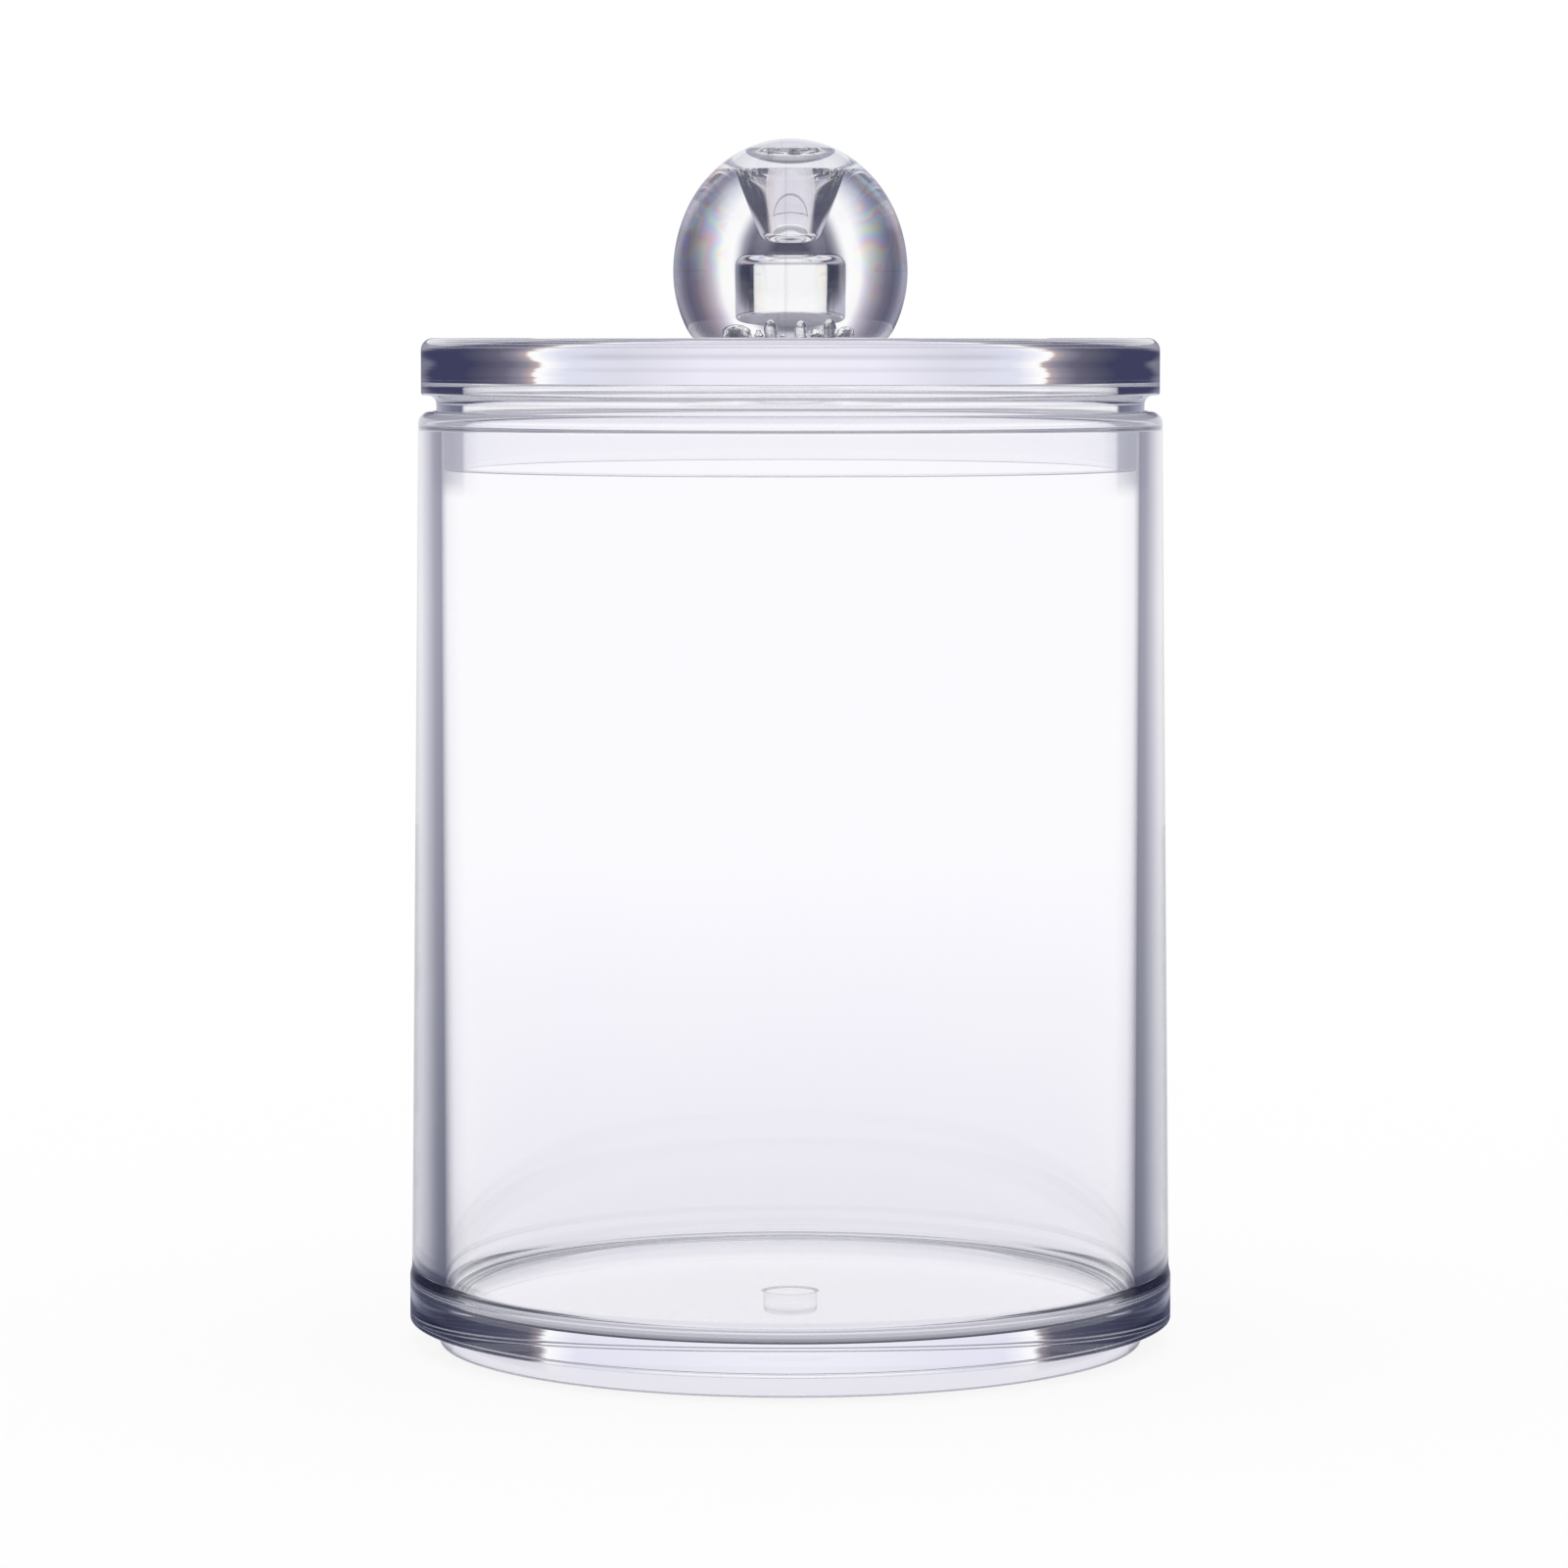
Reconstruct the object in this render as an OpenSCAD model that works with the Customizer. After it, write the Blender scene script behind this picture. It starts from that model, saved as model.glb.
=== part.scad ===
// Cotton pad holder: a clear moulded jar on a stacking foot, with a lift-off
// lid that plugs into the mouth and carries an egg-shaped knob closed by a cap.
// Z = 0 is the foot's standing face and the Z axis is the turning axis.

/* [Jar] */
// Height from the foot's standing face to the top of the lip
jar_h = 95.0; // [60:0.1:160]
// Outside diameter of the wall at the mouth
mouth_d = 75.6; // [60:0.1:120]
// How much farther out the wall stands at the base than at the mouth
base_flare = 1.0; // [0:0.1:3]
// Thickness of the wall just below the mouth
wall_t = 2.3; // [1.8:0.05:4]
// Thickness of the wall at the floor
wall_base_t = 3.6; // [2:0.05:5]
// Thickness of the floor
floor_t = 2.7; // [1.5:0.1:5]
// Radius of the fillet between the floor and the wall inside
floor_fillet = 2.5; // [0.5:0.1:6]
// How far the band round the base stands proud of the wall
band_step = 0.2; // [0.1:0.05:0.6]
// Height of the band round the base
band_h = 4.9; // [3:0.1:8]
// Round on the band's lower edge
band_round = 0.4; // [0.1:0.05:0.8]

/* [Mouth] */
// Width of the ledge that carries the lid
seat_w = 0.45; // [0.3:0.05:0.8]
// Depth of the ledge below the lip's top
seat_depth = 1.55; // [0.8:0.05:4]
// Round on the lip's outer edge
lip_round = 1.2; // [0.3:0.05:2]
// Least flat left on top of the lip, which limits its round
lip_land = 0.2; // [0.1:0.05:0.5]

/* [Foot] */
// Height of the stacking foot
foot_h = 2.4; // [1:0.1:5]
// How far the foot's ring is set in from the band
foot_inset = 3.0; // [1.5:0.1:8]
// Wall of the foot's ring
foot_wall = 1.2; // [0.8:0.1:3]
// Diameter of the gate stub under the floor
gate_d = 5.5; // [2:0.1:12]
// Air between the gate stub and the surface the jar stands on
gate_air = 0.2; // [0.1:0.05:0.5]

/* [Lid] */
// How far the disc's edge stands in from the mouth's
lid_inset = 0.3; // [-2:0.1:2]
// Thickness of the lid's disc at its rim
disc_t = 5.75; // [2:0.05:10]
// How far the hollow inside the plug runs up into the disc
hollow_rise = 1.3; // [0:0.1:4]
// Round in the hollow's upper corner
hollow_round = 0.4; // [0.1:0.05:1]
// Round on the disc's top edge
disc_round = 1.2; // [0.2:0.1:1.8]
// Round on the disc's lower edge
disc_low_round = 0.3; // [0.1:0.05:0.6]
// Gap that stays open between the lip and the disc
shadow_gap = 1.65; // [0.5:0.05:4]
// Fillet where the neck meets the disc
neck_fillet = 0.9; // [0.2:0.1:1.2]
// Radial clearance of the neck in the lip
neck_clear = 0.35; // [0.2:0.05:0.5]
// Length of the plug below the ledge
plug_l = 4.35; // [2:0.05:15]
// Radial clearance of the plug in the jar
plug_clear = 0.3; // [0.3:0.05:0.8]
// Wall of the plug
plug_wall = 1.9; // [1.2:0.1:4]
// Round on the plug's leading edge
plug_round = 0.3; // [0.1:0.05:0.6]

/* [Knob] */
// Diameter of the knob at its parting line
knob_d = 23.8; // [14:0.1:40]
// Height of the parting line above the lid
knob_low = 6.75; // [3:0.05:8]
// Height of the dome above the parting line
knob_dome = 13.45; // [8:0.05:25]
// Radius of the knob's flat base
knob_foot_r = 10.0; // [4.5:0.1:10.2]
// Height of the cap that closes the top of the knob
cap_h = 3.2; // [1:0.1:8]
// Diameter of the hollow's mouth under the cap
hollow_d = 9.6; // [3:0.1:12]
// Taper of the hollow's wall from the upright, in degrees
hollow_taper = 19.7; // [5:0.1:22]
// Round in the hollow's lower corner
hollow_tip_round = 0.9; // [0.1:0.1:1.2]
// Web left between the hollow and the socket below it
web_t = 0.7; // [0.4:0.1:3]
// Diameter of the peg on the lid
peg_d = 7.4; // [3:0.1:9]
// Height of the peg on the lid
peg_h = 3.4; // [2:0.1:8]
// Radial clearance of the peg in the knob's socket
peg_clear = 0.05; // [0.02:0.01:0.1]
// Air left in the socket above the peg
socket_air = 4.8; // [1:0.1:8]
// Round in the socket's upper corner
socket_round = 0.7; // [0.1:0.1:1.5]

/* [Hidden] */
$fn = 96;
hair = 0.01;

// Jar heights and radii
underside = foot_h;
floor_z = underside + floor_t;
band_top = underside + band_h;
fillet_top = floor_z + floor_fillet;
seat_z = jar_h - seat_depth;
mouth_r = mouth_d / 2;
base_r = mouth_r + base_flare;
bore_r = mouth_r - wall_t;
bore_base_r = base_r - wall_base_t;
band_r = base_r + band_step;
neck_r = bore_r + seat_w;
seat_r = neck_r + neck_clear;
lip_r = min(lip_round, mouth_r - seat_r - lip_land);
foot_r = band_r - foot_inset;

// Lid heights and radii
disc_z = jar_h + shadow_gap;
lid_top = disc_z + disc_t;
disc_r = mouth_r - lid_inset;
plug_r = bore_r - plug_clear;
plug_inner_r = plug_r - plug_wall;
plug_z = seat_z - plug_l;
ceiling_z = disc_z + hollow_rise;

// Knob heights and radii
peg_r = peg_d / 2;
socket_r = peg_r + peg_clear;
socket_h = peg_h + socket_air;

// Points of an arc about [cx, cy] with the radii rx and ry, from angle a to angle b
function arc(cx, cy, rx, ry, a, b, steps) =
    [for (i = [0:steps]) let (t = a + (b - a) * i / steps) [cx + rx * cos(t), cy + ry * sin(t)]];

// A quarter-round tool that rounds the outer edge of a turned piece at radius r and height z.
// up is 1 for a top edge and -1 for a lower edge.
module edge_round(r, z, round, up) {
    translate([r - round, z - up * round])
        difference() {
            translate([0, up > 0 ? 0 : -round - hair])
                square([round + hair, round + hair]);
            circle(r = round);
        }
}

// Half section of the jar's outer wall, with its rounded lip
module jar_outer() {
    difference() {
        polygon([[0, underside], [base_r, underside], [base_r, band_top],
                 [mouth_r, seat_z], [mouth_r, jar_h], [0, jar_h]]);
        edge_round(mouth_r, jar_h, lip_r, 1);
    }
}

// Half section of the band that stands round the base
module jar_band() {
    difference() {
        polygon([[foot_r - foot_wall, underside], [band_r, underside], [band_r, band_top],
                 [base_r - hair, band_top + band_step], [foot_r - foot_wall, band_top]]);
        edge_round(band_r, underside, band_round, -1);
    }
}

// Half section of the space inside the jar, down to the filleted floor
module jar_inside() {
    difference() {
        polygon([[0, floor_z], [bore_base_r, floor_z], [bore_base_r, fillet_top],
                 [bore_r, seat_z], [bore_r, jar_h + 1], [0, jar_h + 1]]);
        translate([bore_base_r - floor_fillet, fillet_top])
            difference() {
                translate([0, -floor_fillet])
                    square([floor_fillet, floor_fillet]);
                circle(r = floor_fillet);
            }
    }
}

// The jar: wall, floor, band, stacking foot and the stub left by the gate, in one moulding
module jar() {
    color("lavender", 0.35)
        union() {
            rotate_extrude()
                difference() {
                    union() {
                        jar_outer();
                        jar_band();
                        translate([foot_r - foot_wall, 0])
                            square([foot_wall, underside + hair]);
                    }
                    jar_inside();
                    translate([0, seat_z])
                        square([seat_r, seat_depth + 1]);
                }
            translate([0, 0, gate_air])
                cylinder(d = gate_d, h = underside - gate_air + hair);
        }
}

// Half section of the lid's disc, rounded top and bottom
module lid_disc() {
    difference() {
        translate([0, disc_z])
            square([disc_r, disc_t]);
        edge_round(disc_r, lid_top, disc_round, 1);
        edge_round(disc_r, disc_z, disc_low_round, -1);
    }
}

// Half section of the neck, with the fillet that runs into the disc
module lid_neck() {
    translate([0, seat_z])
        square([neck_r, disc_z - seat_z + hair]);
    translate([neck_r, disc_z - neck_fillet])
        difference() {
            square([neck_fillet, neck_fillet + hair]);
            translate([neck_fillet, 0])
                circle(r = neck_fillet);
        }
}

// Half section of the plug, before it is hollowed
module lid_plug() {
    difference() {
        translate([0, plug_z])
            square([plug_r, plug_l + hair]);
        edge_round(plug_r, plug_z, plug_round, -1);
    }
}

// Half section of the hollow inside the plug
module lid_hollow() {
    difference() {
        translate([0, plug_z - 1])
            square([plug_inner_r, ceiling_z - plug_z + 1]);
        edge_round(plug_inner_r, ceiling_z, hollow_round, 1);
    }
}

// The lid: disc, neck, plug and the peg that locates the knob, in one moulding
module lid() {
    color("lightsteelblue", 0.4)
        union() {
            rotate_extrude() {
                difference() {
                    union() {
                        lid_disc();
                        lid_neck();
                        lid_plug();
                    }
                    lid_hollow();
                }
            }
            translate([0, 0, lid_top - hair])
                cylinder(r = peg_r, h = peg_h + hair);
        }
}

// Height of the parting line and the ellipse that the lower half follows down to the flat base
knob_z = lid_top + knob_low;
knob_r = knob_d / 2;
knob_cut = asin(knob_foot_r < knob_r ? sqrt(1 - pow(knob_foot_r / knob_r, 2)) : 0);
knob_low_ry = knob_low / sin(knob_cut);

// Height of the seam under the cap, and the angle at which the dome reaches it
seam_z = knob_z + knob_dome - cap_h;
seam_a = asin((seam_z - knob_z) / knob_dome);

// Bottom of the hollow under the cap, which stands on the web over the socket
hollow_z = lid_top + socket_h + web_t;

// Half section of the socket, with the rounded end of its core pin
module knob_socket() {
    difference() {
        translate([0, lid_top - 1])
            square([socket_r, socket_h + 1]);
        edge_round(socket_r, lid_top + socket_h, socket_round, 1);
    }
}

// Half section of the tapered hollow, with the rounded end of its core pin
module knob_hollow() {
    h = seam_z - hollow_z;
    tip_r = hollow_d / 2 - (h - hollow_tip_round) * tan(hollow_taper) - hollow_tip_round / cos(hollow_taper);
    polygon(concat([[0, hollow_z]],
                   arc(tip_r, hollow_z + hollow_tip_round, hollow_tip_round, hollow_tip_round, -90, -hollow_taper, 6),
                   [[hollow_d / 2, seam_z], [hollow_d / 2, seam_z + 1], [0, seam_z + 1]]));
}

// The knob: an egg of clear plastic, flat below, cored from below for the peg and from above to save plastic
module knob() {
    color("aliceblue", 0.5)
        rotate_extrude()
            difference() {
                polygon(concat([[0, lid_top]],
                               arc(0, knob_z, knob_r, knob_low_ry, -knob_cut, 0, 10),
                               arc(0, knob_z, knob_r, knob_dome, 6, seam_a, 14),
                               [[0, seam_z]]));
                knob_socket();
                knob_hollow();
            }
}

// The cap: the top of the egg, welded over the hollow
module knob_cap() {
    color("white", 0.6)
        rotate_extrude()
            polygon(concat([[0, seam_z]], arc(0, knob_z, knob_r, knob_dome, seam_a, 90, 8)));
}

jar();
lid();
knob();
knob_cap();
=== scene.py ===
import math

import bpy
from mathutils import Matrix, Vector


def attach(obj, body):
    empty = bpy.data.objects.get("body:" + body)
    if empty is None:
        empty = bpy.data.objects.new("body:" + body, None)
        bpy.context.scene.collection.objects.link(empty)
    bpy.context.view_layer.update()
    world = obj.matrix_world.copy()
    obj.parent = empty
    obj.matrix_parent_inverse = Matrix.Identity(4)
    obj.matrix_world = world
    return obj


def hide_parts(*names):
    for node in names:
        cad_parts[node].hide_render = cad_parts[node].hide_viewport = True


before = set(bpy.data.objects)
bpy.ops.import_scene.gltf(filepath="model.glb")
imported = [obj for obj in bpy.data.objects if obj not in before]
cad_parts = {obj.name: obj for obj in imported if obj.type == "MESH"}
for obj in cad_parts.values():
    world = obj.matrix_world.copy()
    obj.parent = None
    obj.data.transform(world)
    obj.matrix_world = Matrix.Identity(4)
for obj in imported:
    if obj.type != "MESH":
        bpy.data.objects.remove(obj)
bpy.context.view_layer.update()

# The camera
# It stands where the photograph was taken from: level with the lid, about 0.6 m
# away, looking slightly down so that the foot ring shows under the base.
MM = 0.001
photo_width_px = 1601
focal_px = 6110
horizon_above_middle_px = 460.5
sensor_mm = 36
eye_distance = 0.6098
eye_height = 0.10293
eye_aside = -0.65 * MM
look_down = math.atan(horizon_above_middle_px / focal_px)

bpy.ops.object.select_all(action="DESELECT")
bpy.ops.object.camera_add(
    location=(eye_aside, -eye_distance, eye_height),
    rotation=(math.radians(90) - look_down, 0, 0),
)
camera = bpy.context.object
camera.name = "photograph_camera"
camera.data.sensor_width = sensor_mm
camera.data.lens = sensor_mm * focal_px / photo_width_px
camera.data.clip_start = 0.01
camera.data.clip_end = 50
bpy.context.scene.camera = camera

# The jar
# One clear moulding: tapered wall, floor, band round the base and the thin foot
# ring that stacks on another jar's mouth, with the gate's stub under the floor.
jar_height = 95.0
mouth_r = 37.8
base_r = 38.8
bore_r = 35.5
bore_base_r = 35.45
underside = 2.4
floor_top = 5.1
floor_fillet = 2.5
band_r = 39.0
band_top = 7.3
band_step_half = 0.45
seat_z = 93.45
seat_r = 36.3
lip_round = 1.2
foot_r = 36.0
foot_inner_r = 34.8
gate_r = 2.75
gate_bottom = 0.2
turned_steps = 360
arc_steps = 7
hold = 0.06
merge_distance = 0.002
crease_angle = 32


def rounded(corners):
    """The outline through the corners (r, z, round), with arcs and a holding point either side of each."""
    outline = []
    for before, corner, after in zip([corners[0]] + corners[:-1], corners, corners[1:] + [corners[-1]]):
        here = Vector(corner[:2])
        if len(corner) < 3:
            outline.append(here)
            continue
        back = Vector(before[:2]) - here
        ahead = Vector(after[:2]) - here
        half = back.angle(ahead) / 2
        reach = corner[2] / math.tan(half)
        back_way = back.normalized()
        ahead_way = ahead.normalized()
        centre = here + (back_way + ahead_way).normalized() * corner[2] / math.sin(half)
        first = here + back_way * reach - centre
        last = here + ahead_way * reach - centre
        if back.length > reach + 3 * hold:
            outline.append(here + back_way * (reach + hold))
        for step in range(arc_steps + 1):
            outline.append(centre + first.slerp(last, step / arc_steps) * corner[2])
        if ahead.length > reach + 3 * hold:
            outline.append(here + ahead_way * (reach + hold))
    return outline


def arc_of(radius_r, radius_z, height, start, end, steps):
    """Points of an upright ellipse about the turning axis, from angle start to angle end in degrees."""
    angles = [math.radians(start + (end - start) * step / steps) for step in range(steps + 1)]
    return [Vector((radius_r * math.cos(a), height + radius_z * math.sin(a))) for a in angles]


def turned(name, outline):
    """Draws a half section by extruding a point, and spins it round Z."""
    bpy.ops.object.select_all(action="DESELECT")
    start = outline[0]
    bpy.ops.mesh.primitive_plane_add(size=MM, location=(start.x * MM, 0, start.y * MM))
    piece = bpy.context.object
    piece.name = name
    bpy.ops.object.transform_apply(location=True, rotation=True, scale=True)
    bpy.ops.object.mode_set(mode="EDIT")
    bpy.ops.mesh.select_mode(type="VERT")
    bpy.ops.mesh.select_all(action="SELECT")
    bpy.ops.mesh.merge(type="CENTER")
    for here, there in zip(outline, outline[1:]):
        step = (there - here) * MM
        bpy.ops.mesh.extrude_region_move(TRANSFORM_OT_translate={"value": (step.x, 0, step.y)})
    bpy.ops.mesh.select_all(action="SELECT")
    bpy.ops.mesh.spin(steps=turned_steps, angle=math.tau, center=(0, 0, 0), axis=(0, 0, 1))
    bpy.ops.mesh.select_all(action="SELECT")
    bpy.ops.mesh.remove_doubles(threshold=merge_distance * MM)
    bpy.ops.mesh.normals_make_consistent(inside=False)
    bpy.ops.object.mode_set(mode="OBJECT")
    bpy.ops.object.shade_smooth_by_angle(angle=math.radians(crease_angle))
    return piece


jar = turned("clear_jar", rounded([
    (0, gate_bottom),
    (gate_r, gate_bottom, 0.3),
    (gate_r, underside, 0.25),
    (foot_inner_r, underside, 0.4),
    (foot_inner_r, 0, 0.15),
    (foot_r, 0, 0.15),
    (foot_r, underside, 0.2),
    (band_r, underside, 0.15),
    (band_r, band_top - band_step_half, 0.6),
    (base_r, band_top + band_step_half, 0.9),
    (mouth_r, seat_z),
    (mouth_r, jar_height, lip_round),
    (seat_r, jar_height, 0.12),
    (seat_r, seat_z, 0.25),
    (bore_r, seat_z, 0.35),
    (bore_base_r, floor_top, floor_fillet),
    (0, floor_top),
]))


class Wire:
    """A node's output, which can be used in Python's sums."""

    def __init__(self, finish, socket):
        self.finish = finish
        self.socket = socket

    def maths(self, operation, *others):
        sockets = dict(enumerate([self, *others]))
        return self.finish.node("ShaderNodeMath", {"operation": operation}, sockets)

    def __add__(self, other):
        return self.maths("ADD", other)

    def __sub__(self, other):
        return self.maths("SUBTRACT", other)

    def __rsub__(self, other):
        return self.finish.node("ShaderNodeMath", {"operation": "SUBTRACT"}, {0: other, 1: self})

    def __mul__(self, other):
        return self.maths("MULTIPLY", other)

    def __truediv__(self, other):
        return self.maths("DIVIDE", other)

    __radd__ = __add__
    __rmul__ = __mul__


class Finish:
    """A material's or the world's node tree, to which nodes are added one at a time."""

    def __init__(self, owner):
        owner.use_nodes = True
        self.owner = owner
        self.tree = owner.node_tree

    def node(self, kind, settings, sockets, output=0):
        """Adds a node, sets it, feeds it and gives back its output, or the node if it has none."""
        made = self.tree.nodes.new(kind)
        for key, value in settings.items():
            if key == "stops":
                self.set_stops(made.color_ramp.elements, value)
            else:
                setattr(made, key, value)
        self.feed(made, sockets)
        return Wire(self, made.outputs[output]) if len(made.outputs) else made

    def set_stops(self, elements, stops):
        while len(elements) < len(stops):
            elements.new(1)
        for element, (place, colour) in zip(elements, stops):
            element.position = place
            element.color = colour

    def feed(self, made, sockets):
        for key, value in sockets.items():
            if isinstance(value, Wire):
                self.tree.links.new(value.socket, made.inputs[key])
            else:
                made.inputs[key].default_value = value

    def ray(self, kind):
        """What is known of the light ray that meets the surface."""
        return self.node("ShaderNodeLightPath", {}, {}, kind)

    def ramp(self, value, stops):
        """A colour ramp through the stops, each a place and a colour."""
        return self.node("ShaderNodeValToRGB", {"stops": stops}, {0: value})

    def rise(self, value, start, end, least=0):
        """A share that goes from least to 1 while the value goes from start to end."""
        return self.node("ShaderNodeMapRange", {}, {0: value, 1: start, 2: end, 3: least})

    def noise(self, place, scale, detail, **more):
        sockets = {"Vector": place, "Scale": scale, "Detail": detail, **more}
        return self.node("ShaderNodeTexNoise", {}, sockets)

    def colour_mix(self, share, low, high):
        sockets = {"Factor": share, 6: low, 7: high}
        return self.node("ShaderNodeMix", {"data_type": "RGBA"}, sockets, 2)

    def shader_mix(self, share, low, high):
        return self.node("ShaderNodeMixShader", {}, {0: share, 1: low, 2: high})


def along(finish, place, axis):
    """A surface's place along X, Y or Z (0, 1 or 2), in mm."""
    return finish.node("ShaderNodeSeparateXYZ", {}, {0: place}, axis) * (1 / MM)


def from_axis(finish, place):
    """A surface's distance from the turning axis, in mm."""
    level = (1 / MM, 1 / MM, 0)
    flat = finish.node("ShaderNodeVectorMath", {"operation": "MULTIPLY"}, {0: place, 1: level})
    return finish.node("ShaderNodeVectorMath", {"operation": "LENGTH"}, {0: flat}, 1)


def seen_off_axis(finish):
    """How far to the side of the turning axis a round wall is seen, as a share of the wall's radius."""
    facing = finish.node("ShaderNodeLayerWeight", {}, {"Blend": 0.5}, 1)
    return (facing * (2 - facing)).maths("SQRT")


cloud_scale = 60
pale_share = 0.4
scuff_scale = 900
haze_from = 0.62
haze_depth = 0.12
trapped_after = 9.5


def clear_plastic(name, index, tint, flow_scale, flow_height, painted_edge_light, tones=()):
    """Clear moulded plastic: a cold tint, faint flow waves from the mould and a haze of handling marks.

    Each tone is a function that changes the tint over a part of the surface. Light that stays trapped
    after many mirrorings is shown as painted light and shade of the edges, a flat emitted colour, and
    painted_edge_light gives its colour low down, its colour high up and the height in mm where it changes."""
    finish = Finish(bpy.data.materials.new(name))
    surface = finish.tree.nodes["Principled BSDF"]
    surface.inputs["Transmission Weight"].default_value = 1
    surface.inputs["IOR"].default_value = index
    place = finish.node("ShaderNodeTexCoord", {}, {}, 3)
    flow = finish.noise(finish.node("ShaderNodeMapping", {}, {0: place, 3: flow_scale}), 1, 2)
    scuff = finish.noise(place, scuff_scale, 4, Roughness=0.7)
    pale = tuple(1 - (1 - part) * pale_share for part in tint)
    colour = finish.colour_mix(finish.noise(place, cloud_scale, 3), (*pale, 1), (*tint, 1))
    for tone in tones:
        colour = tone(finish, place, colour)
    worn = (scuff - haze_from).maths("MAXIMUM", 0) * haze_depth
    bump = finish.node("ShaderNodeBump", {}, {"Strength": 1, "Distance": flow_height, "Height": flow})
    finish.feed(surface, {"Base Color": colour, "Roughness": worn, "Normal": bump})
    # Painted light and shade for trapped light: a flat emitted colour that changes with height
    low_painted_light, high_painted_light, change = painted_edge_light
    painted_light = finish.shader_mix(
        along(finish, place, 2).maths("GREATER_THAN", change),
        finish.node("ShaderNodeEmission", {}, {"Color": low_painted_light}),
        finish.node("ShaderNodeEmission", {}, {"Color": high_painted_light}),
    )
    trapped = finish.ray("Ray Depth").maths("GREATER_THAN", trapped_after)
    whole = finish.shader_mix(trapped, Wire(finish, surface.outputs[0]), painted_light)
    finish.feed(finish.tree.nodes["Material Output"], {0: whole})
    return finish.owner


mid_wall_r = (bore_r + base_r) / 2
# The painted shade on the step over the band: its height, half width, grazing range and colour
painted_step_z = band_top + 0.25
painted_step_half = 0.42
painted_step_from = 31.5
painted_step_full = 34
painted_step_shade_colour = (0.005, 0.005, 0.015, 1)


def painted_band_step_shade(finish, place, colour):
    """Painted shade on the step over the band, which turns dark only where the eye runs along the wall."""
    grazing = finish.rise(seen_off_axis(finish) * band_r, painted_step_from, painted_step_full)
    outside = from_axis(finish, place).maths("GREATER_THAN", mid_wall_r)
    from_step = (along(finish, place, 2) - painted_step_z).maths("ABSOLUTE")
    on_step = from_step.maths("LESS_THAN", painted_step_half)
    return finish.colour_mix(grazing * outside * on_step, colour, painted_step_shade_colour)


styrene_index = 1.57
styrene_tint = (0.975, 0.972, 0.995)
# Painted light and shade of the jar's edges, dark low down
jar_painted_edge_light = ((0.055, 0.06, 0.1, 1), (0.4, 0.4, 0.46, 1), 50)

jar.data.materials.append(clear_plastic(
    "clear_jar_plastic", styrene_index, styrene_tint, (12, 12, 120), 0.00001, jar_painted_edge_light, (painted_band_step_shade,),
))
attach(jar, "jar")
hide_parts("jar")

# The lid
# A thick clear disc moulded with a short neck and plug under it. The neck rests
# on the ledge inside the jar's lip and the plug keeps the lid central.
lid_underside = 96.65
lid_top = 102.4
lid_r = 37.5
neck_r = 35.95
plug_r = 35.2
plug_inner_r = 33.3
plug_bottom = 89.1
hollow_ceiling = 97.95
neck_fillet = 0.9
rim_round = 1.2
seat_film = 0.015
# Painted light and shade of the lid's edges
lid_painted_edge_light = ((0.62, 0.62, 0.69, 1), (0.34, 0.34, 0.41, 1), 97.5)

lid = turned("clear_lid", rounded([
    (0, hollow_ceiling),
    (plug_inner_r, hollow_ceiling, 0.4),
    (plug_inner_r, plug_bottom, 0.2),
    (plug_r, plug_bottom, 0.3),
    (plug_r, seat_z + seat_film, 0.08),
    (neck_r, seat_z + seat_film, 0.15),
    (neck_r, lid_underside, neck_fillet),
    (lid_r, lid_underside, 0.3),
    (lid_r, lid_top, rim_round),
    (0, lid_top),
]))
lid.data.materials.append(clear_plastic(
    "clear_lid_plastic", styrene_index, styrene_tint, (12, 12, 160), 0.00002, lid_painted_edge_light,
))
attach(lid, "lid")
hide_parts("lid")

# The knob
# A thick clear egg, cemented by its flat base over the lid's peg. It is cored
# from below for the peg and from above, so two hollows show inside it.
knob_r = 11.9
knob_foot_r = 10.0
equator_height = 6.75
dome_height = 13.45
cap_height = 3.2
knob_equator = lid_top + equator_height
seam_z = knob_equator + dome_height - cap_height
hollow_r = 4.8
hollow_taper = math.radians(19.7)
hollow_depth = 8.1
hollow_tip_round = 1.2
hollow_bottom = seam_z - hollow_depth
socket_r = 3.75
socket_crown_r = 2.2
peg_top = lid_top + 3.4
socket_top = lid_top + 8.15
cement_film = 0.02

foot_ease_angle = 3
equator_ease_angle = 1.5
foot_angle = math.degrees(math.acos(knob_foot_r / knob_r))
low_height = equator_height / math.sin(math.radians(foot_angle))
seam_angle = math.degrees(math.asin((seam_z - knob_equator) / dome_height))
seam_r = knob_r * math.cos(math.radians(seam_angle))
hollow_tip_r = hollow_r - (seam_z - hollow_bottom) * math.tan(hollow_taper)

knob_low = arc_of(knob_r, low_height, knob_equator, foot_ease_angle - foot_angle, 0, 24)
knob_dome = arc_of(knob_r, dome_height, knob_equator, equator_ease_angle, seam_angle, 28)
knob_foot = rounded([
    (0, lid_top + cement_film),
    (knob_foot_r - 0.1, lid_top + cement_film, 0.25),
    tuple(knob_low[0]),
])
hollow = rounded([
    tuple(knob_dome[-1]),
    (hollow_r, seam_z, 0.15),
    (hollow_tip_r, hollow_bottom, hollow_tip_round),
    (0, hollow_bottom),
])
knob = turned("knob", knob_foot[:-1] + knob_low + knob_dome + hollow[1:])

socket = turned("socket", rounded([
    (0, peg_top),
    (socket_r, peg_top, 0.2),
    (socket_r, socket_top - 0.2, 0.9),
    (socket_crown_r, socket_top, 1.5),
    (0, socket_top + 0.1),
]))
voids = [socket]

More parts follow.
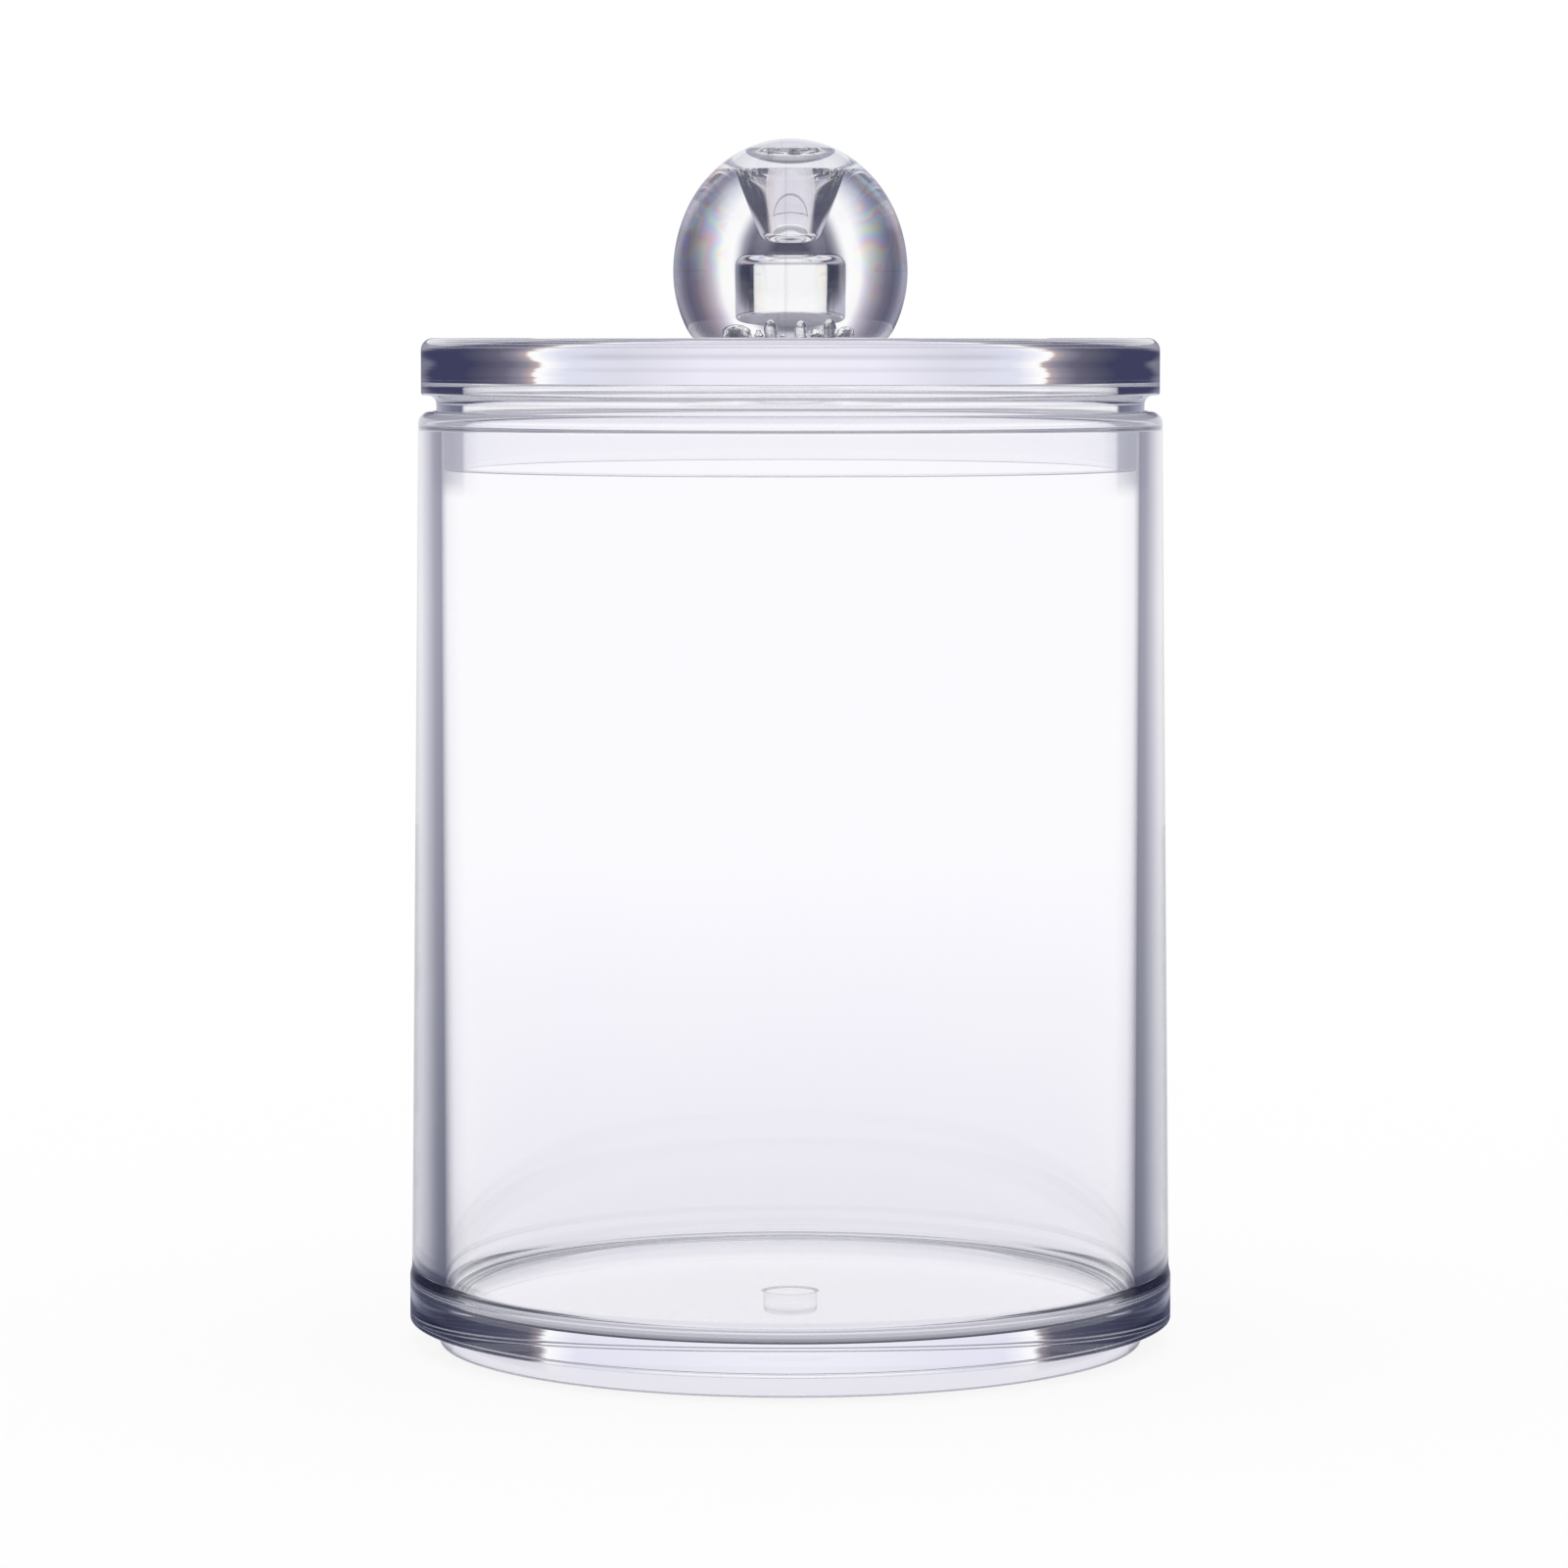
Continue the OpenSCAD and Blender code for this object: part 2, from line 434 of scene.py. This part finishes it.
# Bubbles in the cement: bearing in degrees, distance from the axis, width and height
bubbles_z = lid_top + 0.6
bubble_depth_share = 0.7
bubble_unevenness = 0.05
for seed, (angle, out, across, tall) in enumerate([
    (216, 5.4, 2.9, 1.8), (237, 4.7, 1.5, 1.3), (249, 4.5, 1.2, 2.2), (262, 4.4, 1.0, 1.2),
    (281, 4.5, 1.2, 2.1), (296, 4.7, 1.5, 1.4), (310, 4.9, 1.6, 2.3), (327, 5.2, 1.9, 1.7),
    (345, 5.4, 1.3, 1.1), (15, 4.9, 1.5, 1.4), (60, 4.8, 1.4, 1.9), (95, 5.0, 1.8, 1.3),
    (130, 4.7, 1.3, 2.1), (165, 5.0, 1.7, 1.2),
]):
    bearing = math.radians(angle)
    middle = Vector((out * math.cos(bearing), out * math.sin(bearing), bubbles_z + tall / 2))
    bpy.ops.mesh.primitive_ico_sphere_add(subdivisions=4, radius=across / 2 * MM, location=middle * MM)
    bubble = bpy.context.object
    bpy.ops.object.mode_set(mode="EDIT")
    bpy.ops.mesh.select_all(action="SELECT")
    bpy.ops.transform.resize(value=(1, bubble_depth_share, tall / across))
    bpy.ops.transform.rotate(value=bearing + seed, orient_axis="Z")
    bpy.ops.transform.vertex_random(offset=bubble_unevenness * MM, seed=seed)
    bpy.ops.mesh.vertices_smooth(factor=0.6, repeat=5)
    bpy.ops.object.mode_set(mode="OBJECT")
    bpy.ops.object.shade_smooth()
    bpy.ops.object.transform_apply(location=True, rotation=True, scale=True)
    voids.append(bubble)


def join(pieces, into):
    """Makes the pieces one mesh, under the name of the piece that they go into."""
    bpy.ops.object.select_all(action="DESELECT")
    for piece in pieces:
        piece.select_set(True)
    bpy.context.view_layer.objects.active = into
    bpy.ops.object.join()


join(voids, socket)
bpy.ops.object.mode_set(mode="EDIT")
bpy.ops.mesh.select_all(action="SELECT")
bpy.ops.mesh.flip_normals()
bpy.ops.object.mode_set(mode="OBJECT")
join([socket, knob], knob)

mould_line_x = -0.45
mould_line_half = 0.06
parting_line_half = 0.07
parting_line_from = 8.5
mould_line_share = 0.45
mould_line_colour = (0.62, 0.62, 0.66, 1)
# Painted rainbow light on the flanks
rainbow_from = 6
rainbow_full = 7.6
rainbow_least = 0.35
rainbow_scale = 150
rainbow_turns = 7.0
flank_share = 0.8
rainbow = [
    (0.0, (1, 0.45, 0.42, 1)),
    (0.2, (1, 0.88, 0.36, 1)),
    (0.4, (0.5, 1, 0.66, 1)),
    (0.6, (0.42, 0.74, 1, 1)),
    (0.8, (0.66, 0.5, 1, 1)),
    (1.0, (1, 0.45, 0.42, 1)),
]
# A painted warm cast of light low on the left
warm_from = -6.5
warm_full = -8
warm_light_colour = (1, 0.86, 0.8, 1)
cement_r = 7.6
# Painted mottled shade on the bubbles in the cement
cement_shade_scale = 700
cement_shade_stops = [(0.4, (0.9, 0.9, 0.92, 1)), (0.56, (0.16, 0.16, 0.2, 1))]


def mould_lines(finish, place, colour):
    """The line down the front and back where the mould opened, and the parting line at the two sides."""
    aside = along(finish, place, 0)
    upright = (aside - mould_line_x).maths("ABSOLUTE").maths("LESS_THAN", mould_line_half)
    from_equator = (along(finish, place, 2) - knob_equator).maths("ABSOLUTE")
    at_side = aside.maths("ABSOLUTE").maths("GREATER_THAN", parting_line_from)
    level = from_equator.maths("LESS_THAN", parting_line_half) * at_side
    for line in (upright, level):
        colour = finish.colour_mix(line * mould_line_share, colour, mould_line_colour)
    return colour


def painted_stress_rainbow(finish, place, colour):
    """Rainbow patches of painted light on the flanks, where the plastic cooled under stress."""
    flank = finish.rise(along(finish, place, 0).maths("ABSOLUTE"), rainbow_from, rainbow_full)
    high = finish.rise(along(finish, place, 2), knob_equator - 1, knob_equator + 3, rainbow_least)
    swirl = finish.noise(place, rainbow_scale, 1, Distortion=0.8)
    bands = finish.ramp((swirl * rainbow_turns).maths("FRACT"), rainbow)
    settings = {"data_type": "RGBA", "blend_type": "MULTIPLY"}
    sockets = {"Factor": flank * high * flank_share, 6: colour, 7: bands}
    return finish.node("ShaderNodeMix", settings, sockets, 2)


def painted_warm_light(finish, place, colour):
    """A painted warm cast of light low on the left."""
    left = finish.rise(along(finish, place, 0), warm_from, warm_full)
    low = finish.rise(along(finish, place, 2), knob_equator, knob_equator - 2)
    return finish.colour_mix(left * low * flank_share, colour, warm_light_colour)


def painted_cement_shade(finish, place, colour):
    """Painted shade on the bubbles in the cement round the peg, mottled dark and pale."""
    up = along(finish, place, 2)
    within = from_axis(finish, place).maths("LESS_THAN", cement_r)
    at_cement = within * up.maths("LESS_THAN", peg_top - 0.1) * up.maths("GREATER_THAN", lid_top + 0.3)
    cement_shade = finish.ramp(finish.noise(place, cement_shade_scale, 2), cement_shade_stops)
    return finish.colour_mix(at_cement, colour, cement_shade)


# Painted light and shade of the knob's edges
knob_painted_edge_light = ((0.27, 0.27, 0.33, 1), (0.5, 0.5, 0.57, 1), 118)
knob_plastic = clear_plastic(
    "clear_knob_plastic", 1.5, (0.985, 0.985, 0.995), (60, 60, 200), 0.00001, knob_painted_edge_light,
    (mould_lines, painted_stress_rainbow, painted_warm_light, painted_cement_shade),
)
knob.data.materials.append(knob_plastic)
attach(knob, "lid")
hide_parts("knob")

# The knob's cap
# The top of the egg, a solid lens of the same clear plastic. It was moulded by
# itself and welded over the hollow.
cap_dome = arc_of(knob_r, dome_height, knob_equator, seam_angle + 0.2, 90, 30)
cap_dome[-1].x = 0
cap_base = rounded([
    (0, seam_z + cement_film),
    (seam_r - 0.05, seam_z + cement_film, 0.03),
    tuple(cap_dome[0]),
])
cap = turned("knob_cap", cap_base[:-1] + cap_dome)
cap.data.materials.append(knob_plastic)
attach(cap, "lid")
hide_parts("knob_cap")

# The studio
# A white floor under an even white sky that is dimmer half way up; through the plastic the floor shows
# painted shade near the object. Dark cards stand round the clear plastic, unseen by the camera, and show
# only in its thick edges as painted shade and glints, as in bright-field lighting.
floor_radius = 6
floor_drop = 0.1
floor_glow_share = 0.87
floor_shade_end = 0.5
foot_shade_full = 0.05
foot_shade_end = 0.085
white = (1, 1, 1, 1)

bpy.ops.object.select_all(action="DESELECT")
bpy.ops.mesh.primitive_circle_add(
    vertices=96, radius=floor_radius, fill_type="NGON", location=(0, 0, -floor_drop * MM),
)
floor = bpy.context.object
floor.name = "studio_floor"
paper = Finish(bpy.data.materials.new("studio_floor"))
paper.tree.nodes.clear()
off_centre = paper.node(
    "ShaderNodeVectorMath", {"operation": "LENGTH"}, {0: paper.node("ShaderNodeTexCoord", {}, {}, 3)}, 1
)
# Painted shade on the floor, seen only through the plastic: darker near the object, and darkest right
# under the base for mirrored light
painted_floor_shade = paper.ramp(off_centre * (1 / floor_shade_end), [
    (0.0, (0.80, 0.79, 0.84, 1)),
    (0.24, (0.86, 0.85, 0.90, 1)),
    (0.7, (0.96, 0.95, 0.99, 1)),
    (1.0, white),
])
painted_shade_under_base = paper.ramp(off_centre * (1 / foot_shade_full), [
    (0.36, (0.11, 0.11, 0.15, 1)),
    (0.53, (0.16, 0.16, 0.2, 1)),
    (0.65, (0.3, 0.3, 0.35, 1)),
    (0.715, (0.5, 0.5, 0.57, 1)),
    (0.755, (0.74, 0.74, 0.8, 1)),
])
mirrored = paper.ray("Glossy Depth").maths("GREATER_THAN", 0.5)
under_base = paper.rise(off_centre, foot_shade_end, foot_shade_full)
through_plastic = paper.node(
    "ShaderNodeEmission", {}, {"Color": paper.colour_mix(mirrored * under_base, painted_floor_shade, painted_shade_under_base)}
)
open_paper = paper.shader_mix(
    paper.ray("Is Camera Ray") * floor_glow_share,
    paper.node("ShaderNodeBsdfDiffuse", {}, {"Color": (0.98, 0.98, 0.98, 1)}),
    paper.node("ShaderNodeEmission", {}, {"Color": white}),
)
in_plastic = paper.ray("Is Glossy Ray").maths("MAXIMUM", paper.ray("Is Transmission Ray"))
paper.node("ShaderNodeOutputMaterial", {}, {0: paper.shader_mix(in_plastic, open_paper, through_plastic)})
floor.data.materials.append(paper.owner)

sky_dim = (0.36, 0.36, 0.43, 1)
sky = Finish(bpy.data.worlds.new("studio_sky"))
bpy.context.scene.world = sky.owner
sky.tree.nodes.clear()
direction = sky.node("ShaderNodeTexCoord", {}, {}, 0)
sky_light = sky.ramp(sky.node("ShaderNodeSeparateXYZ", {}, {0: direction}, 2), [
    (0.0, white),
    (0.30, white),
    (0.50, sky_dim),
    (0.72, sky_dim),
    (0.86, white),
])
sky_plain = sky.ray("Is Camera Ray").maths("MAXIMUM", sky.ray("Is Diffuse Ray"))
sky_colour = sky.colour_mix(sky_plain, sky_light, white)
background = sky.node("ShaderNodeBackground", {}, {"Color": sky_colour, "Strength": 1})
sky.node("ShaderNodeOutputWorld", {}, {0: background})

card_span = 50
card_r = band_r + 0.6
base_card_bottom = 0.05
base_card_top = 5.2
wall_card_top = 93.6
lid_card_top = lid_top + 1.2
knob_card_r = 13
knob_card_bottom = lid_top + 0.1
knob_card_top = 127
full_lift = 40
lifted_lid_card_bottom = 128
through_one_piece = 2


def shades(*stops):
    """Stops for a ramp over the distance from the turning axis, each (mm, red, green, blue)."""
    return [(place / card_span, (red, green, blue, 1)) for place, red, green, blue in stops]


class Card(Finish):
    """A round card whose emitted colour is painted shade and glints, which light meets only when it has
    crossed one piece or been mirrored by its edge.

    off_axis is how far to the side of the turning axis it is seen, in card spans, and height is in mm."""

    def __init__(self, name, radius, bottom, top):
        bpy.ops.object.select_all(action="DESELECT")
        bpy.ops.mesh.primitive_cylinder_add(
            vertices=180, radius=radius * MM, depth=(top - bottom) * MM,
            end_fill_type="NOTHING", location=(0, 0, (bottom + top) / 2 * MM),
        )
        ring = bpy.context.object
        ring.name = name
        bpy.ops.object.transform_apply(location=True, rotation=True, scale=True)
        bpy.ops.object.shade_smooth()
        for seen_by in ("visible_camera", "visible_diffuse", "visible_shadow", "visible_volume_scatter"):
            setattr(ring, seen_by, False)
        super().__init__(bpy.data.materials.new(name))
        self.tree.nodes.clear()
        ring.data.materials.append(self.owner)
        self.crossings = self.ray("Transmission Depth")
        self.mirrored = self.ray("Glossy Depth").maths("GREATER_THAN", 0.5)
        self.off_axis = seen_off_axis(self) * (radius / card_span)
        self.place = self.node("ShaderNodeTexCoord", {}, {}, 3)
        self.height = along(self, self.place, 2)

    def streaks(self, per_mm, detail):
        """Level streaks: noise that changes only with the height."""
        sockets = {"W": self.height * per_mm, "Scale": 1, "Detail": detail}
        return self.node("ShaderNodeTexNoise", {"noise_dimensions": "1D"}, sockets)

    def show(self, shade, nested=0):
        """Shows the painted shade, and a nested share of it to light mirrored within a second piece."""
        one_piece = self.crossings.maths("COMPARE", through_one_piece, 0.5)
        edge_mirror = self.mirrored * self.crossings.maths("LESS_THAN", 0.5)
        shown = one_piece.maths("MAXIMUM", edge_mirror)
        if nested:
            second_piece = self.mirrored * self.crossings.maths("GREATER_THAN", through_one_piece + 0.5)
            shown = shown.maths("MAXIMUM", second_piece * nested)
        clear = self.node("ShaderNodeBsdfTransparent", {}, {})
        dark = self.node("ShaderNodeEmission", {}, {"Color": shade})
        self.node("ShaderNodeOutputMaterial", {}, {0: self.shader_mix(shown, clear, dark)})


disc_from = 95.4
disc_full = 96.2
streaks_full_r = 20
streaks_end_r = 24
painted_streak_shade = (0.3, 0.3, 0.36, 1)
for name, lift, bottom in (
    ("lid_card", 0, wall_card_top),
    ("lifted_lid_card", full_lift, lifted_lid_card_bottom),
):
    card = Card(name, card_r, bottom, lid_card_top + lift)
    ragged = (card.streaks(0.9, 3) - 0.5) * 0.06
    # Painted shade of the lid's disc: pale in the middle, dark towards the rim's ends, with a painted
    # glint where it turns dark
    disc_shade = card.ramp(card.off_axis + ragged, shades(
        (0, 0.89, 0.88, 0.95), (8.7, 0.86, 0.85, 0.94), (16.7, 0.74, 0.73, 0.82), (22.7, 0.75, 0.76, 0.88),
        (24.2, 0.88, 0.88, 0.94), (25.2, 1, 1, 1), (25.8, 1, 0.97, 0.95), (26.2, 0.5, 0.4, 0.4),
        (27.3, 0.26, 0.25, 0.31), (29, 0.14, 0.13, 0.19), (31, 0.09, 0.09, 0.14), (33, 0.05, 0.052, 0.11),
        (36.4, 0.05, 0.052, 0.11), (37.3, 0.2, 0.2, 0.27),
    ))
    neck_shade = card.ramp(card.off_axis, shades(
        (0, 1, 1, 1), (31.5, 1, 1, 1), (33, 0.8, 0.8, 0.86), (33.4, 0.15, 0.16, 0.23),
        (34.4, 0.18, 0.19, 0.27), (35.4, 0.3, 0.31, 0.4), (36.2, 0.6, 0.6, 0.68), (37.5, 0.85, 0.85, 0.9),
    ))
    # Painted streaks of shade across the middle of the disc
    in_middle = card.rise(card.off_axis, streaks_end_r / card_span, streaks_full_r / card_span)
    streaked = (card.streaks(0.8, 2) - 0.5).maths("MAXIMUM", 0) * in_middle
    disc_shade = card.colour_mix(streaked, disc_shade, painted_streak_shade)
    in_disc = card.rise(card.height - lift, disc_from, disc_full)
    card.show(card.colour_mix(in_disc, neck_shade, disc_shade))

plate_full = 3.7
shoulder_full = 4.3
plate_nested_share = 0.6
base_middle = ((0, 0.92, 0.92, 0.97), (14, 0.82, 0.82, 0.91), (22.7, 0.78, 0.78, 0.9), (25.6, 1, 1, 1))
card = Card("base_card", card_r, base_card_bottom, base_card_top)
ragged = (card.streaks(1.3, 3) - 0.5) * 0.05
# Painted shade of the base, with a painted glint where it turns dark
plate_shade = card.ramp(card.off_axis + ragged, shades(
    *base_middle, (26.3, 0.3, 0.26, 0.3), (27.3, 0.11, 0.105, 0.15), (29.5, 0.075, 0.08, 0.125),
    (33, 0.055, 0.058, 0.1), (35.4, 0.03, 0.032, 0.065), (36.8, 0.015, 0.017, 0.045),
    (38.2, 0.03, 0.035, 0.075), (39, 0.12, 0.12, 0.2),
))
shoulder_shade = card.ramp(card.off_axis, shades(
    *base_middle, (26.3, 0.3, 0.26, 0.3), (27.3, 0.12, 0.115, 0.16), (33, 0.06, 0.063, 0.11),
    (35, 0.1, 0.1, 0.15), (36, 0.18, 0.18, 0.24), (37, 0.24, 0.25, 0.34), (38, 0.3, 0.32, 0.42),
    (38.7, 0.5, 0.5, 0.6),
))
over_the_plate = card.rise(card.height, plate_full, shoulder_full)
base_shade = card.colour_mix(over_the_plate, plate_shade, shoulder_shade)
card.show(base_shade, plate_nested_share)

band_end = 7.5
low_wall = 8
high_wall = 75
plug_from = 86.5
plug_full = 88
wall_nested_share = 0.5
card = Card("wall_card", card_r, base_card_top, wall_card_top)
band_shade = card.ramp(card.off_axis, shades(
    (0, 1, 1, 1), (32.5, 1, 1, 1), (34.2, 0.4, 0.4, 0.46), (35.3, 0.08, 0.085, 0.13),
    (37, 0.05, 0.055, 0.1), (38, 0.08, 0.085, 0.14), (38.8, 0.3, 0.3, 0.36),
))
low_shade = card.ramp(card.off_axis, shades(
    (0, 1, 1, 1), (33.2, 1, 1, 1), (34.6, 0.7, 0.7, 0.75), (35.3, 0.15, 0.155, 0.21),
    (36.3, 0.18, 0.185, 0.24), (36.8, 0.26, 0.265, 0.33), (37.4, 0.42, 0.42, 0.5), (38, 0.56, 0.56, 0.62),
    (38.6, 0.85, 0.85, 0.88),
))
high_shade = card.ramp(card.off_axis, shades(
    (0, 1, 1, 1), (33.6, 1, 1, 1), (34.9, 0.85, 0.85, 0.9), (35.5, 0.33, 0.33, 0.4),
    (36.2, 0.38, 0.38, 0.45), (36.7, 0.54, 0.54, 0.62), (37.2, 0.7, 0.7, 0.76), (37.7, 0.88, 0.88, 0.9),
))
plug_shade = card.ramp(card.off_axis, shades(
    (0, 1, 1, 1), (31.5, 0.95, 0.95, 1), (33, 0.7, 0.7, 0.78), (33.4, 0.2, 0.21, 0.3),
    (34.4, 0.18, 0.19, 0.28), (35.4, 0.3, 0.3, 0.38), (36.2, 0.36, 0.36, 0.44), (36.7, 0.54, 0.54, 0.62),
    (37.7, 0.88, 0.88, 0.9),
))
up_the_wall = card.rise(card.height, low_wall, high_wall)
over_the_band = card.rise(card.height, band_end, low_wall)
by_the_plug = card.rise(card.height, plug_from, plug_full)
wall_shade = card.colour_mix(up_the_wall, low_shade, high_shade)
wall_shade = card.colour_mix(over_the_band, band_shade, wall_shade)
wall_shade = card.colour_mix(by_the_plug, wall_shade, plug_shade)
card.show(wall_shade, wall_nested_share)

low_flank_top = 109
high_flank_from = 111.5
foot_light_full = lid_top + 1.2
foot_light_end = lid_top + 2.4
foot_light = (0.62, 0.62, 0.69, 1)
seam_light_from = 119
seam_light_full = 120.5
seam_light = (0.84, 0.84, 0.89, 1)
waist = (
    (0, 0.08, 0.083, 0.125), (2.2, 0.06, 0.062, 0.1), (3, 0.16, 0.16, 0.22), (4.4, 0.13, 0.13, 0.19),
    (5, 0.3, 0.3, 0.36), (5.7, 0.85, 0.85, 0.9), (6, 1, 1, 1), (7.2, 1, 1, 1),
)
for name, lift in (("knob_card", 0), ("lifted_knob_card", full_lift)):
    card = Card(name, knob_card_r, knob_card_bottom + lift, knob_card_top + lift)
    height = card.height - lift
    above = (card.height - (knob_equator + lift)).maths("MAXIMUM", 0) * (1 / dome_height)
    girth = (1 - (above * above).maths("MINIMUM", 0.95)).maths("SQRT")
    uneven = (card.noise(card.place, 200, 2, Distortion=0.5) - 0.5) * 0.03
    across = card.off_axis / girth + uneven
    # Painted shade and light of the knob's flanks, hollows, foot and cap
    low_flank = card.ramp(across, shades(
        *waist, (7.7, 0.74, 0.72, 0.8), (8.2, 0.54, 0.5, 0.58), (8.9, 0.35, 0.32, 0.39),
        (9.8, 0.18, 0.165, 0.23), (10.6, 0.12, 0.12, 0.19), (11.2, 0.21, 0.21, 0.3),
        (11.8, 0.45, 0.45, 0.54),
    ))
    high_flank = card.ramp(across, shades(
        *waist, (8, 0.86, 0.87, 0.92), (8.8, 0.66, 0.69, 0.77), (9.6, 0.45, 0.46, 0.55),
        (10.4, 0.26, 0.26, 0.35), (11.2, 0.2, 0.2, 0.3), (11.8, 0.5, 0.5, 0.6),
    ))
    hollow_shade = card.ramp(card.off_axis + uneven, shades(
        (0, 0.1, 0.1, 0.14), (3.7, 0.14, 0.14, 0.19), (4.3, 0.05, 0.053, 0.085), (4.9, 0.06, 0.065, 0.1),
        (5.4, 0.22, 0.22, 0.29), (5.9, 0.5, 0.5, 0.6), (7.2, 0.5, 0.5, 0.6), (8.5, 0.09, 0.095, 0.14),
        (16, 0.07, 0.075, 0.12),
    ))
    up_the_flank = card.rise(height, low_flank_top, high_flank_from)
    solid_shade = card.colour_mix(up_the_flank, low_flank, high_flank)
    by_the_foot = card.rise(height, foot_light_end, foot_light_full)
    hollow_shade = card.colour_mix(by_the_foot, hollow_shade, foot_light)
    inner_mirror = card.mirrored * card.crossings.maths("GREATER_THAN", 0.5)
    knob_shade = card.colour_mix(inner_mirror, solid_shade, hollow_shade)
    over_the_seam = card.rise(height, seam_light_from, seam_light_full)
    card.show(card.colour_mix(over_the_seam, knob_shade, seam_light))

# The light
# Stacked clear walls need many crossings, so the light is followed further than
# usual. The colours are shown as they are.
scene = bpy.context.scene
scene.cycles.max_bounces = 24
scene.cycles.transmission_bounces = 24
scene.cycles.glossy_bounces = 12
scene.cycles.transparent_max_bounces = 32
scene.view_settings.view_transform = "Standard"
